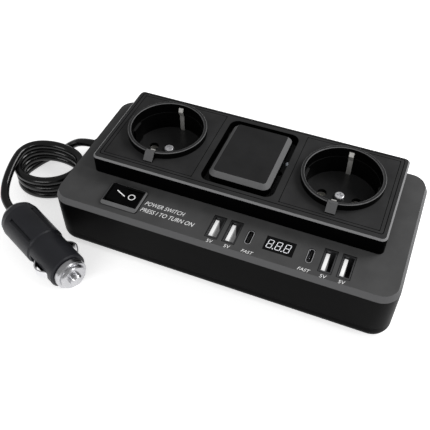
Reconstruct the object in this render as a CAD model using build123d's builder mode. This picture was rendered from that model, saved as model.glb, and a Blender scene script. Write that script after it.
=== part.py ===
from build123d import *
import math
import os

os.makedirs("parts", exist_ok=True)

# ---------------------------------------------------------------- case
CASE_LENGTH = 186.6
CASE_DEPTH = 89.2
CASE_HEIGHT = 34.8
CASE_CORNER = 10.0
CASE_WALL = 2.2
FOOT_HEIGHT = 1.5
SEAM_HEIGHT = 10.0
SEAM_GAP = 0.3
TONGUE = 0.9
TOP_BEVEL_RUN = 1.6
TOP_BEVEL_RISE = 3.4
BOTTOM_ROUND = 6.0
TOP_Z = FOOT_HEIGHT + CASE_HEIGHT
INSIDE_TOP_Z = TOP_Z - CASE_WALL
FLOOR_Z = FOOT_HEIGHT + CASE_WALL
FOOT_X = 68.0
FOOT_Y = 31.0
FOOT_RADIUS = 5.5
SCREW_X = 83.0
SCREW_Y = 35.0

# ---------------------------------------------------------------- raised socket block
BLOCK_LENGTH = 160.6
BLOCK_FRONT_Y = -18.9
BLOCK_BACK_Y = 42.9
BLOCK_HEIGHT = 10.7
BLOCK_CORNER = 3.0
BLOCK_TOP_Z = TOP_Z + BLOCK_HEIGHT
PANEL_THICKNESS = 2.4
PANEL_Z = BLOCK_TOP_Z - PANEL_THICKNESS
PANEL_Y = 12.85
RECESS_LENGTH = 155.4
RECESS_DEPTH = 56.3
PANEL_GAP = 0.4
PLATE_X = 49.75
PLATE_LENGTH = 51.2
PLATE_DEPTH = 52.0
PLATE_GAP = 0.3

# ---------------------------------------------------------------- earthed wall-plug sockets
SOCKET_X = 50.05
SOCKET_Y = 14.2
COLLAR_RADIUS = 22.0
COLLAR_HEIGHT = 4.0
MOUTH_RADIUS = 20.2
WELL_RADIUS = 20.0
WELL_WALL = 1.8
WELL_DEPTH = 17.5
WELL_FLOOR_Z = BLOCK_TOP_Z + COLLAR_HEIGHT - WELL_DEPTH
WELL_FLOOR = 2.2
PIN_SPACING = 19.0
PIN_HOLE_RADIUS = 2.6
KEY_WIDTH = 8.0
KEY_DEPTH = 1.4
STRAP_WIDTH = 2.6
STRAP_THICKNESS = 0.6
STRAP_Y = 19.3

# ---------------------------------------------------------------- fan under the middle cover
POCKET_LENGTH = 40.4
POCKET_DEPTH = 51.0
POCKET_Y = 12.5
POCKET_CORNER = 5.0
POCKET_WALL = 1.6
POCKET_FLOOR_Z = 40.3
POCKET_FLOOR = 1.8
COVER_LENGTH = 33.8
COVER_DEPTH = 44.0
COVER_Y = 13.0
COVER_CORNER = 4.0
COVER_LOW_Z = 43.0
COVER_BEVEL = 2.4
FAN_SIZE = 40.0
FAN_HEIGHT = 10.0
FAN_Y = 12.5
FAN_LOW_Z = 28.2
FAN_BORE = 18.8
FAN_HOLE_SPACING = 32.0
HUB_RADIUS = 10.5
BLADE_COUNT = 7

# ---------------------------------------------------------------- ports, display and switch on the ledge
PORT_CENTRE_X = 31.6
PORT_Y = -32.2
USB_A_OFFSETS = (-34.0, -24.8, 24.8, 34.0)
USB_C_OFFSETS = (-15.8, 15.8)
USB_A_LIP = (6.4, 14.6)
USB_A_SHELL = (5.8, 13.2)
USB_A_CUTOUT = (6.9, 15.2)
USB_C_SHELL = (3.3, 9.1)
USB_C_CUTOUT = (3.8, 9.6)
SHEET = 0.35
USB_BOARD_Z = 20.8
BOARD_THICKNESS = 1.6
WINDOW = (15.4, 9.2)
ROCKER_X = -54.8
ROCKER_Y = -31.9
ROCKER_FLANGE = (21.0, 15.6)
ROCKER_FLANGE_HEIGHT = 1.8
ROCKER_FRONT_SLOPE = 1.7
ROCKER_BODY = (19.2, 13.2)
ROCKER_OPENING = (17.8, 11.6)
ROCKER_PIVOT_Z = 35.0
ROCKER_TILT = 10.0
ROCKER_HALF = 8.0
ROCKER_WIDTH = 11.0

# ---------------------------------------------------------------- main board
BOARD_LENGTH = 154.0
BOARD_DEPTH = 74.0
BOARD_Z = 7.0
BOARD_TOP_Z = BOARD_Z + BOARD_THICKNESS
STANDOFF_X = 72.0
STANDOFF_Y = 33.0

# ---------------------------------------------------------------- cord
CORD_DIAMETER = 5.0
GLAND_Y = 18.0
GLAND_Z = 17.0
GLAND_END_X = -103.0
COIL_X = -122.6
COIL_Y = -5.2
COIL_TURN = 22.0
COIL_HALF_LENGTH = 18.5
COIL_HALF_WIDTH = 14.8
COIL_HEIGHT = 21.3

# ---------------------------------------------------------------- vehicle plug
PLUG_REAR = (-122.5, -45.0)
PLUG_HEADING = -26.0
GRIP_RADIUS = 11.3
BARREL_RADIUS = 10.4
GRIP_END = 35.0
BARREL_END = 57.0
SPIGOT_RADIUS = 6.5
SPIGOT_END = 60.0
BORE_RADIUS = 3.75
SPRING_BORE_RADIUS = 5.6
CAP_RADIUS = 8.8
CAP_START = 57.3
CAP_END = 63.0
TIP_RADIUS = 3.5
TIP_END = 66.5


def finish(piece, name):
    """Label one piece and write it to its own file."""
    piece.part.label = name
    export_step(piece.part, f"parts/{name}.step")


def plane_at(z, x=0.0, y=0.0):
    """Horizontal plane at height z with its origin above (x, y)."""
    return Plane(origin=(x, y, z), x_dir=(1, 0, 0), z_dir=(0, 0, 1))


def corners(x, y):
    """The four points (+-x, +-y)."""
    return [(x, y), (-x, y), (-x, -y), (x, -y)]


# ================================================================ case
with BuildPart() as lower_case:
    with BuildSketch(plane_at(FOOT_HEIGHT)):
        RectangleRounded(CASE_LENGTH, CASE_DEPTH, CASE_CORNER)
    extrude(amount=SEAM_HEIGHT - FOOT_HEIGHT)
    fillet(lower_case.faces().sort_by(Axis.Z)[0].edges(), BOTTOM_ROUND)
    with BuildSketch(plane_at(FLOOR_Z)):
        RectangleRounded(CASE_LENGTH - 2 * CASE_WALL, CASE_DEPTH - 2 * CASE_WALL, CASE_CORNER - CASE_WALL)
    extrude(amount=SEAM_HEIGHT, mode=Mode.SUBTRACT)
    with BuildSketch(plane_at(SEAM_HEIGHT - 1.5)):
        RectangleRounded(CASE_LENGTH - 2 * CASE_WALL, CASE_DEPTH - 2 * CASE_WALL, CASE_CORNER - CASE_WALL)
        RectangleRounded(
            CASE_LENGTH - 2 * CASE_WALL - 2 * TONGUE,
            CASE_DEPTH - 2 * CASE_WALL - 2 * TONGUE,
            CASE_CORNER - CASE_WALL - TONGUE,
            mode=Mode.SUBTRACT,
        )
    extrude(amount=3.0)
    with BuildSketch(plane_at(FLOOR_Z)):
        with Locations(corners(STANDOFF_X, STANDOFF_Y)):
            Circle(3.0)
    extrude(amount=BOARD_Z - FLOOR_Z)
    with Locations(plane_at(FOOT_HEIGHT)):
        with Locations(corners(SCREW_X, SCREW_Y)):
            Cylinder(1.7, 3 * CASE_WALL, mode=Mode.SUBTRACT)
            Cylinder(2.8, 2.4, mode=Mode.SUBTRACT)
    with Locations(plane_at(BOARD_Z)):
        with Locations(corners(STANDOFF_X, STANDOFF_Y)):
            Cylinder(1.2, 4.0, mode=Mode.SUBTRACT)
finish(lower_case, "lower_case")

with BuildPart() as top_case:
    with BuildSketch(plane_at(SEAM_HEIGHT + SEAM_GAP)):
        RectangleRounded(CASE_LENGTH, CASE_DEPTH, CASE_CORNER)
    extrude(amount=TOP_Z - TOP_BEVEL_RISE - SEAM_HEIGHT - SEAM_GAP)
    with BuildSketch(plane_at(TOP_Z - TOP_BEVEL_RISE)):
        RectangleRounded(CASE_LENGTH, CASE_DEPTH, CASE_CORNER)
    extrude(amount=TOP_BEVEL_RISE, taper=math.degrees(math.atan(TOP_BEVEL_RUN / TOP_BEVEL_RISE)))
    with BuildSketch(plane_at(SEAM_HEIGHT)):
        RectangleRounded(CASE_LENGTH - 2 * CASE_WALL, CASE_DEPTH - 2 * CASE_WALL, CASE_CORNER - CASE_WALL)
    extrude(amount=INSIDE_TOP_Z - SEAM_HEIGHT, mode=Mode.SUBTRACT)
    with BuildSketch(plane_at(FLOOR_Z)):
        with Locations(corners(SCREW_X, SCREW_Y)):
            Circle(3.5)
            Circle(1.25, mode=Mode.SUBTRACT)
    extrude(amount=INSIDE_TOP_Z - FLOOR_Z)
    with BuildSketch(plane_at(INSIDE_TOP_Z)):
        with Locations((SOCKET_X, SOCKET_Y), (-SOCKET_X, SOCKET_Y)):
            Circle(WELL_RADIUS + WELL_WALL + 0.7)
        with Locations((0, FAN_Y)):
            Rectangle(FAN_SIZE + 1.5, FAN_SIZE + 1.5)
        with Locations((ROCKER_X, ROCKER_Y)):
            Rectangle(ROCKER_BODY[0] + 0.3, ROCKER_BODY[1] + 0.3)
        with Locations([(PORT_CENTRE_X + offset, PORT_Y) for offset in USB_A_OFFSETS]):
            Rectangle(*USB_A_CUTOUT)
        with Locations([(PORT_CENTRE_X + offset, PORT_Y) for offset in USB_C_OFFSETS]):
            RectangleRounded(*USB_C_CUTOUT, 1.8)
        with Locations((PORT_CENTRE_X, PORT_Y)):
            Rectangle(*WINDOW)
    extrude(amount=CASE_WALL, mode=Mode.SUBTRACT)
    with BuildSketch(Plane(origin=(-CASE_LENGTH / 2 - 1, GLAND_Y, GLAND_Z), z_dir=(1, 0, 0))):
        Circle(4.1)
    extrude(amount=CASE_WALL + 2, mode=Mode.SUBTRACT)
finish(top_case, "top_case")

with BuildPart() as rubber_feet:
    with BuildSketch(Plane.XY):
        with Locations(corners(FOOT_X, FOOT_Y)):
            Circle(FOOT_RADIUS)
    extrude(amount=FOOT_HEIGHT)
    chamfer(rubber_feet.faces().group_by(Axis.Z)[0].edges(), 0.4)
finish(rubber_feet, "rubber_feet")

with BuildPart() as case_screws:
    with BuildSketch(plane_at(FOOT_HEIGHT + 0.2)):
        with Locations(corners(SCREW_X, SCREW_Y)):
            Circle(2.6)
    extrude(amount=1.0)
    with BuildSketch(plane_at(FOOT_HEIGHT + 1.2)):
        with Locations(corners(SCREW_X, SCREW_Y)):
            Circle(1.2)
    extrude(amount=9.0)
    with BuildSketch(plane_at(FOOT_HEIGHT + 0.2)):
        with Locations(corners(SCREW_X, SCREW_Y)):
            Rectangle(3.4, 0.8)
            Rectangle(0.8, 3.4)
    extrude(amount=0.6, mode=Mode.SUBTRACT)
finish(case_screws, "case_screws")

# ================================================================ raised socket block
BLOCK_Y = (BLOCK_FRONT_Y + BLOCK_BACK_Y) / 2
BLOCK_DEPTH = BLOCK_BACK_Y - BLOCK_FRONT_Y
LEDGE = 1.5

with BuildPart() as socket_block:
    with BuildSketch(plane_at(TOP_Z, 0, BLOCK_Y)):
        RectangleRounded(BLOCK_LENGTH, BLOCK_DEPTH, BLOCK_CORNER)
    extrude(amount=BLOCK_HEIGHT)
    chamfer(socket_block.faces().sort_by(Axis.Z)[-1].edges(), 0.9)
    with BuildSketch(plane_at(PANEL_Z, 0, PANEL_Y)):
        RectangleRounded(RECESS_LENGTH, RECESS_DEPTH, 1.5)
    extrude(amount=PANEL_THICKNESS, mode=Mode.SUBTRACT)
    with BuildSketch(plane_at(TOP_Z, 0, PANEL_Y)):
        RectangleRounded(RECESS_LENGTH - 2 * LEDGE, RECESS_DEPTH - 2 * LEDGE, 1.5)
    extrude(amount=BLOCK_HEIGHT, mode=Mode.SUBTRACT)
finish(socket_block, "socket_block")

with BuildPart() as panel_frame:
    with BuildSketch(plane_at(PANEL_Z)):
        with Locations((0, PANEL_Y)):
            RectangleRounded(RECESS_LENGTH - 2 * PANEL_GAP, RECESS_DEPTH - 2 * PANEL_GAP, 1.2)
        with Locations((PLATE_X, PANEL_Y), (-PLATE_X, PANEL_Y)):
            Rectangle(PLATE_LENGTH + 2 * PLATE_GAP, PLATE_DEPTH + 2 * PLATE_GAP, mode=Mode.SUBTRACT)
        with Locations((0, POCKET_Y)):
            RectangleRounded(POCKET_LENGTH, POCKET_DEPTH, POCKET_CORNER, mode=Mode.SUBTRACT)
    extrude(amount=PANEL_THICKNESS)
    with BuildSketch(plane_at(POCKET_FLOOR_Z, 0, POCKET_Y)):
        RectangleRounded(POCKET_LENGTH + 2 * POCKET_WALL, POCKET_DEPTH + 1.2, POCKET_CORNER + 0.6)
        RectangleRounded(POCKET_LENGTH, POCKET_DEPTH, POCKET_CORNER, mode=Mode.SUBTRACT)
    extrude(amount=PANEL_Z - POCKET_FLOOR_Z)
    with BuildSketch(plane_at(POCKET_FLOOR_Z - POCKET_FLOOR)):
        with Locations((0, POCKET_Y)):
            RectangleRounded(POCKET_LENGTH + 2 * POCKET_WALL, POCKET_DEPTH + 1.2, POCKET_CORNER + 0.6)
        with Locations((0, FAN_Y)):
            with PolarLocations(12.5, 12):
                SlotOverall(11.0, 3.0, mode=Mode.SUBTRACT)
    extrude(amount=POCKET_FLOOR)
finish(panel_frame, "panel_frame")


def socket_plate(side):
    """Square cover plate with a raised collar and a ramp tab; side is -1 or 1."""
    with BuildPart() as plate:
        with BuildSketch(plane_at(PANEL_Z)):
            with Locations((side * PLATE_X, PANEL_Y)):
                RectangleRounded(PLATE_LENGTH, PLATE_DEPTH, 0.8)
            with Locations((side * SOCKET_X, SOCKET_Y)):
                Circle(MOUTH_RADIUS, mode=Mode.SUBTRACT)
        extrude(amount=PANEL_THICKNESS)
        with BuildSketch(plane_at(BLOCK_TOP_Z, side * SOCKET_X, SOCKET_Y)):
            Circle(COLLAR_RADIUS)
            Circle(MOUTH_RADIUS, mode=Mode.SUBTRACT)
        extrude(amount=COLLAR_HEIGHT)
        fillet(plate.faces().sort_by(Axis.Z)[-1].edges(), 0.5)
        tab_plane = Plane(origin=(side * SOCKET_X, SOCKET_Y, BLOCK_TOP_Z), x_dir=(0, 1, 0), z_dir=(1, 0, 0))
        with BuildSketch(tab_plane):
            Polygon(
                (-20.8, COLLAR_HEIGHT - 1), (-20.8, COLLAR_HEIGHT + 0.2), (-22.4, COLLAR_HEIGHT + 0.2),
                (-26.0, 0.6), (-26.0, 0), (-21.2, 0), align=None,
            )
        extrude(amount=2.6, both=True)
    return plate


def socket_well(side):
    """Cup below the plate with two pin holes, side keys and slots for the earth strap."""
    with BuildPart() as well:
        with BuildSketch(plane_at(WELL_FLOOR_Z - WELL_FLOOR, side * SOCKET_X, SOCKET_Y)):
            Circle(WELL_RADIUS + WELL_WALL)
        extrude(amount=PANEL_Z - WELL_FLOOR_Z + WELL_FLOOR)
        with BuildSketch(plane_at(PANEL_Z - 1.6, side * SOCKET_X, SOCKET_Y)):
            Circle(WELL_RADIUS + WELL_WALL + 2.6)
        extrude(amount=1.6)
        with BuildSketch(plane_at(WELL_FLOOR_Z, side * SOCKET_X, SOCKET_Y)):
            Circle(WELL_RADIUS)
            with Locations((WELL_RADIUS, 0), (-WELL_RADIUS, 0)):
                Rectangle(2 * KEY_DEPTH, KEY_WIDTH, mode=Mode.SUBTRACT)
        extrude(amount=WELL_DEPTH, mode=Mode.SUBTRACT)
        with BuildSketch(plane_at(WELL_FLOOR_Z - WELL_FLOOR, side * SOCKET_X, SOCKET_Y)):
            with Locations((PIN_SPACING / 2, 0), (-PIN_SPACING / 2, 0)):
                Circle(PIN_HOLE_RADIUS)
            with Locations((0, STRAP_Y), (0, -STRAP_Y)):
                Rectangle(STRAP_WIDTH + 0.4, STRAP_THICKNESS + 0.6)
            Circle(1.7)
        extrude(amount=WELL_FLOOR, mode=Mode.SUBTRACT)
    return well


def earth_strap(side):
    """Spring strip that passes under the well and rises inside it at the front and the back."""
    low = WELL_FLOOR_Z - WELL_FLOOR - 0.7
    strap_plane = Plane(origin=(side * SOCKET_X, SOCKET_Y, 0), x_dir=(0, 1, 0), z_dir=(1, 0, 0))
    with BuildPart() as strap:
        with BuildSketch(strap_plane):
            with BuildLine():
                Polyline(
                    (-18.7, WELL_FLOOR_Z + 16.2), (-17.8, WELL_FLOOR_Z + 13.9),
                    (-STRAP_Y, WELL_FLOOR_Z + 10), (-STRAP_Y, low), (STRAP_Y, low),
                    (STRAP_Y, WELL_FLOOR_Z + 10), (17.8, WELL_FLOOR_Z + 13.9), (18.7, WELL_FLOOR_Z + 16.2),
                )
            trace(line_width=STRAP_THICKNESS)
        extrude(amount=STRAP_WIDTH / 2, both=True)
        with BuildSketch(plane_at(low - STRAP_THICKNESS / 2, side * SOCKET_X, SOCKET_Y)):
            Circle(3.2)
        extrude(amount=STRAP_THICKNESS)
        with BuildSketch(plane_at(low - 1, side * SOCKET_X, SOCKET_Y)):
            Circle(1.65)
        extrude(amount=2, mode=Mode.SUBTRACT)
    return strap


def pin_contacts(side):
    """Two spring sleeves under the well, each with a solder tail."""
    top = WELL_FLOOR_Z - WELL_FLOOR - 0.1
    pins = [(PIN_SPACING / 2, 0), (-PIN_SPACING / 2, 0)]
    with BuildPart() as contacts:
        with BuildSketch(plane_at(top - 9.0, side * SOCKET_X, SOCKET_Y)):
            with Locations(pins):
                Circle(3.1)
        extrude(amount=9.0)
        with BuildSketch(plane_at(top - 8.0, side * SOCKET_X, SOCKET_Y)):
            with Locations(pins):
                Circle(2.45)
        extrude(amount=8.0, mode=Mode.SUBTRACT)
        with BuildSketch(plane_at(top - 12.0, side * SOCKET_X, SOCKET_Y)):
            with Locations(pins):
                Circle(0.9)
        extrude(amount=3.0)
    return contacts


for side, word in ((-1, "left"), (1, "right")):
    finish(socket_plate(side), f"{word}_socket_plate")
    finish(socket_well(side), f"{word}_socket_well")
    finish(earth_strap(side), f"{word}_earth_strap")
    finish(pin_contacts(side), f"{word}_pin_contacts")

SOCKET_CENTRES = [(SOCKET_X, SOCKET_Y), (-SOCKET_X, SOCKET_Y)]
with BuildPart() as socket_screws:
    with BuildSketch(plane_at(WELL_FLOOR_Z)):
        with Locations(SOCKET_CENTRES):
            Circle(2.7)
    extrude(amount=1.7)
    fillet(socket_screws.faces().group_by(Axis.Z)[-1].edges(), 0.6)
    with BuildSketch(plane_at(WELL_FLOOR_Z - 8.0)):
        with Locations(SOCKET_CENTRES):
            Circle(1.5)
    extrude(amount=8.0)
    with BuildSketch(plane_at(WELL_FLOOR_Z + 1.0)):
        with Locations(SOCKET_CENTRES):
            Rectangle(3.4, 0.8)
            Rectangle(0.8, 3.4)
    extrude(amount=1.0, mode=Mode.SUBTRACT)
finish(socket_screws, "socket_screws")

# ================================================================ fan and its floating cover
with BuildPart() as fan_cover:
    with BuildSketch(plane_at(COVER_LOW_Z, 0, COVER_Y)):
        RectangleRounded(COVER_LENGTH, COVER_DEPTH, COVER_CORNER)
    extrude(amount=BLOCK_TOP_Z - COVER_LOW_Z)
    with BuildSketch(plane_at(BLOCK_TOP_Z, 0, COVER_Y)):
        RectangleRounded(COVER_LENGTH, COVER_DEPTH, COVER_CORNER)
    extrude(amount=COVER_BEVEL, taper=45)
    with BuildSketch(plane_at(COVER_LOW_Z, 0, COVER_Y)):
        RectangleRounded(COVER_LENGTH - 4.0, COVER_DEPTH - 4.0, COVER_CORNER - 2.0)
    extrude(amount=3.0, mode=Mode.SUBTRACT)
    with BuildSketch(plane_at(POCKET_FLOOR_Z, 0, COVER_Y)):
        with Locations(corners(12.0, 18.5)):
            Circle(2.2)
    extrude(amount=COVER_LOW_Z + 3.0 - POCKET_FLOOR_Z)
finish(fan_cover, "fan_cover")

with BuildPart() as status_led:
    with BuildSketch(plane_at(POCKET_FLOOR_Z, 18.4, 20.5)):
        Circle(1.0)
    extrude(amount=1.6)
    fillet(status_led.faces().sort_by(Axis.Z)[-1].edges(), 0.8)
finish(status_led, "status_led")

HALF_HOLE_SPACING = FAN_HOLE_SPACING / 2
with BuildPart() as fan_frame:
    with BuildSketch(plane_at(FAN_LOW_Z, 0, FAN_Y)):
        RectangleRounded(FAN_SIZE, FAN_SIZE, 2.5)
        Circle(FAN_BORE, mode=Mode.SUBTRACT)
        with Locations(corners(HALF_HOLE_SPACING, HALF_HOLE_SPACING)):
            Circle(1.7, mode=Mode.SUBTRACT)
    extrude(amount=FAN_HEIGHT)
    with BuildSketch(plane_at(FAN_LOW_Z, 0, FAN_Y)):
        Circle(9.0)
        Rectangle(2 * FAN_BORE + 0.6, 2.4)
        Rectangle(2.4, 2 * FAN_BORE + 0.6)
    extrude(amount=1.3)
    with BuildSketch(plane_at(FAN_LOW_Z, 0, FAN_Y)):
        Circle(2.6)
    extrude(amount=6.0)
    with BuildSketch(plane_at(FAN_LOW_Z + 1.0, 0, FAN_Y)):
        Circle(1.05)
    extrude(amount=6.0, mode=Mode.SUBTRACT)
finish(fan_frame, "fan_frame")

with BuildPart() as fan_stator:
    with BuildSketch(plane_at(FAN_LOW_Z + 2.6, 0, FAN_Y)):
        Circle(8.4)
        Circle(2.6, mode=Mode.SUBTRACT)
        with PolarLocations(8.6, 4):
            Rectangle(4.0, 1.6, mode=Mode.SUBTRACT)
    extrude(amount=3.0)
finish(fan_stator, "fan_stator")

with BuildPart() as fan_rotor:
    with BuildSketch(plane_at(FAN_LOW_Z + 2.0, 0, FAN_Y)):
        Circle(HUB_RADIUS)
    extrude(amount=7.2)
    with BuildSketch(plane_at(FAN_LOW_Z + 2.0, 0, FAN_Y)):
        Circle(HUB_RADIUS - 1.2)
    extrude(amount=5.8, mode=Mode.SUBTRACT)
    with BuildSketch(plane_at(FAN_LOW_Z + 1.4, 0, FAN_Y)):
        Circle(1.0)
    extrude(amount=6.6)
    for blade in range(BLADE_COUNT):
        turn = math.radians(360 * blade / BLADE_COUNT)
        radial = Vector(math.cos(turn), math.sin(turn), 0)
        across = Vector(-math.sin(turn), math.cos(turn), 0)
        lean = math.radians(40)
        blade_plane = Plane(
            origin=Vector(0, FAN_Y, FAN_LOW_Z + 5.6) + radial * 14.0,
            x_dir=radial,
            z_dir=across * math.sin(lean) + Vector(0, 0, math.cos(lean)),
        )
        with BuildSketch(blade_plane):
            Rectangle(7.6, 8.4)
        extrude(amount=0.5, both=True)
finish(fan_rotor, "fan_rotor")

with BuildPart() as fan_screws:
    with BuildSketch(plane_at(FAN_LOW_Z - 1.6, 0, FAN_Y)):
        with Locations(corners(HALF_HOLE_SPACING, HALF_HOLE_SPACING)):
            Circle(2.5)
    extrude(amount=1.6)
    with BuildSketch(plane_at(FAN_LOW_Z, 0, FAN_Y)):
        with Locations(corners(HALF_HOLE_SPACING, HALF_HOLE_SPACING)):
            Circle(1.4)
    extrude(amount=FAN_HEIGHT)
finish(fan_screws, "fan_screws")

# ================================================================ ports and display
USB_A_PLACES = [(PORT_CENTRE_X + offset, PORT_Y) for offset in USB_A_OFFSETS]
USB_C_PLACES = [(PORT_CENTRE_X + offset, PORT_Y) for offset in USB_C_OFFSETS]
USB_BOARD_TOP_Z = USB_BOARD_Z + BOARD_THICKNESS
USB_A_FLOOR_Z = USB_BOARD_TOP_Z + 2.0
LIP_Z = TOP_Z - 1.2

with BuildPart() as usb_board:
    with BuildSketch(plane_at(USB_BOARD_Z, PORT_CENTRE_X, -32.3)):
        Rectangle(86.0, 17.6)
    extrude(amount=BOARD_THICKNESS)
finish(usb_board, "usb_board")

with BuildPart() as usb_a_shells:
    with BuildSketch(plane_at(USB_BOARD_TOP_Z)):
        with Locations(USB_A_PLACES):
            Rectangle(*USB_A_SHELL)
    extrude(amount=LIP_Z - USB_BOARD_TOP_Z)
    with BuildSketch(plane_at(LIP_Z)):
        with Locations(USB_A_PLACES):
            Rectangle(*USB_A_LIP)
    extrude(amount=1.1)
    with BuildSketch(plane_at(USB_A_FLOOR_Z)):
        with Locations(USB_A_PLACES):
            Rectangle(USB_A_SHELL[0] - 2 * SHEET, USB_A_SHELL[1] - 2 * SHEET)
    extrude(amount=TOP_Z - USB_A_FLOOR_Z, mode=Mode.SUBTRACT)
finish(usb_a_shells, "usb_a_shells")

with BuildPart() as usb_a_tongues:
    with BuildSketch(plane_at(USB_A_FLOOR_Z)):
        with Locations([(x - 1.2, y) for x, y in USB_A_PLACES]):
            Rectangle(1.8, 11.4)
    extrude(amount=TOP_Z - 1.4 - USB_A_FLOOR_Z)
finish(usb_a_tongues, "usb_a_tongues")

with BuildPart() as usb_c_shells:
    with BuildSketch(plane_at(USB_BOARD_TOP_Z)):
        with Locations(USB_C_PLACES):
            RectangleRounded(*USB_C_SHELL, 1.6)
    extrude(amount=TOP_Z - 0.1 - USB_BOARD_TOP_Z)
    with BuildSketch(plane_at(USB_BOARD_TOP_Z + 5.0)):
        with Locations(USB_C_PLACES):
            RectangleRounded(USB_C_SHELL[0] - 0.6, USB_C_SHELL[1] - 0.6, 1.3)
    extrude(amount=TOP_Z, mode=Mode.SUBTRACT)
finish(usb_c_shells, "usb_c_shells")

with BuildPart() as usb_c_tongues:
    with BuildSketch(plane_at(USB_BOARD_TOP_Z + 5.0)):
        with Locations(USB_C_PLACES):
            Rectangle(0.7, 6.6)
    extrude(amount=TOP_Z - 1.0 - USB_BOARD_TOP_Z - 5.0)
finish(usb_c_tongues, "usb_c_tongues")

with BuildPart() as display_module:
    with BuildSketch(plane_at(INSIDE_TOP_Z - 7.0, PORT_CENTRE_X, PORT_Y)):
        Rectangle(19.0, 13.0)
    extrude(amount=7.0)
    with BuildSketch(plane_at(USB_BOARD_TOP_Z, PORT_CENTRE_X, PORT_Y)):
        with Locations(corners(7.5, 5.0)):
            Circle(0.4)
    extrude(amount=INSIDE_TOP_Z - 7.0 - USB_BOARD_TOP_Z)
finish(display_module, "display_module")

with BuildPart() as display_lens:
    with BuildSketch(plane_at(INSIDE_TOP_Z, PORT_CENTRE_X, PORT_Y)):
        Rectangle(WINDOW[0] - 0.2, WINDOW[1] - 0.2)
    extrude(amount=CASE_WALL - 0.15)
finish(display_lens, "display_lens")

# ================================================================ rocker switch
ROCKER_LOW_Z = 22.0
FLANGE_TOP_Z = TOP_Z + ROCKER_FLANGE_HEIGHT

with BuildPart() as switch_housing:
    with BuildSketch(plane_at(ROCKER_LOW_Z, ROCKER_X, ROCKER_Y)):
        Rectangle(*ROCKER_BODY)
    extrude(amount=TOP_Z - ROCKER_LOW_Z)
    with BuildSketch(plane_at(TOP_Z, ROCKER_X, ROCKER_Y)):
        RectangleRounded(*ROCKER_FLANGE, 1.4)
    extrude(amount=ROCKER_FLANGE_HEIGHT)
    chamfer(switch_housing.faces().sort_by(Axis.Z)[-1].edges(), 0.8)
    front_foot = (ROCKER_X, ROCKER_Y - ROCKER_FLANGE[1] / 2, TOP_Z)
    with BuildSketch(Plane(origin=front_foot, x_dir=(0, 1, 0), z_dir=(1, 0, 0))):
        Polygon(
            (-0.2, 0.2), (ROCKER_FRONT_SLOPE, ROCKER_FLANGE_HEIGHT), (ROCKER_FRONT_SLOPE, 3), (-0.2, 3),
            align=None,
        )
    extrude(amount=ROCKER_FLANGE[0] / 2, both=True, mode=Mode.SUBTRACT)
    with BuildSketch(plane_at(ROCKER_LOW_Z + 1.2, ROCKER_X, ROCKER_Y)):
        Rectangle(*ROCKER_OPENING)
    extrude(amount=FLANGE_TOP_Z, mode=Mode.SUBTRACT)
    with BuildSketch(Plane(origin=(ROCKER_X, ROCKER_Y, ROCKER_PIVOT_Z), z_dir=(0, 1, 0))):
        Circle(1.06)
    extrude(amount=6.3, both=True, mode=Mode.SUBTRACT)
finish(switch_housing, "switch_housing")

tilt = math.radians(ROCKER_TILT)
rocker_plane = Plane(
    origin=(ROCKER_X, ROCKER_Y, ROCKER_PIVOT_Z),
    x_dir=(math.cos(tilt), 0, -math.sin(tilt)),
    z_dir=(0, -1, 0),
)
ROCKER_MIDDLE = 2.6
ROCKER_END = ROCKER_MIDDLE + ROCKER_HALF * math.tan(tilt)
with BuildPart() as power_rocker:
    with BuildSketch(rocker_plane):
        Polygon(
            (-ROCKER_HALF, -1.4), (-4.0, -4.5), (4.0, -4.5), (ROCKER_HALF, -1.4),
            (ROCKER_HALF, ROCKER_END), (0, ROCKER_MIDDLE), (-ROCKER_HALF, ROCKER_END),
            align=None,
        )
    extrude(amount=ROCKER_WIDTH / 2, both=True)
    with BuildSketch(rocker_plane):
        Circle(1.0)
    extrude(amount=6.2, both=True)
finish(power_rocker, "power_rocker")

with BuildPart() as switch_terminals:
    with BuildSketch(plane_at(ROCKER_LOW_Z - 6.0, ROCKER_X, ROCKER_Y)):
        with Locations((-5.0, 0), (5.0, 0)):
            Rectangle(0.8, 4.8)
    extrude(amount=6.0)
finish(switch_terminals, "switch_terminals")

# ================================================================ main board and what stands on it
with BuildPart() as main_board:
    with BuildSketch(plane_at(BOARD_Z)):
        Rectangle(BOARD_LENGTH, BOARD_DEPTH)
        with Locations(corners(STANDOFF_X, STANDOFF_Y)):
            Circle(1.5, mode=Mode.SUBTRACT)
    extrude(amount=BOARD_THICKNESS)
finish(main_board, "main_board")

with BuildPart() as board_screws:
    with BuildSketch(plane_at(BOARD_TOP_Z)):
        with Locations(corners(STANDOFF_X, STANDOFF_Y)):
            Circle(2.4)
    extrude(amount=1.4)
    with BuildSketch(plane_at(BOARD_Z - 1.9)):
        with Locations(corners(STANDOFF_X, STANDOFF_Y)):
            Circle(1.15)
    extrude(amount=BOARD_THICKNESS + 1.9)
finish(board_screws, "board_screws")

TRANSFORMER_Y = 12.0
with BuildPart() as transformer_core:
    with BuildSketch(plane_at(BOARD_TOP_Z + 4.0, 0, TRANSFORMER_Y)):
        Rectangle(26.0, 22.0)
        with Locations((0, 7.0), (0, -7.0)):
            Rectangle(18.0, 3.0, mode=Mode.SUBTRACT)
    extrude(amount=11.0)
finish(transformer_core, "transformer_core")

with BuildPart() as transformer_winding:
    with BuildSketch(plane_at(BOARD_TOP_Z, 0, TRANSFORMER_Y)):
        Rectangle(17.4, 30.0)
    extrude(amount=4.0)
finish(transformer_winding, "transformer_winding")

CAPACITOR_PLACES = [(-70.0, 22.0), (-70.0, 6.0)]
with BuildPart() as input_capacitors:
    with BuildSketch(plane_at(BOARD_TOP_Z)):
        with Locations(CAPACITOR_PLACES):
            Circle(6.3)
    extrude(amount=15.0)
    fillet(input_capacitors.faces().group_by(Axis.Z)[-1].edges(), 0.8)
finish(input_capacitors, "input_capacitors")

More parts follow.
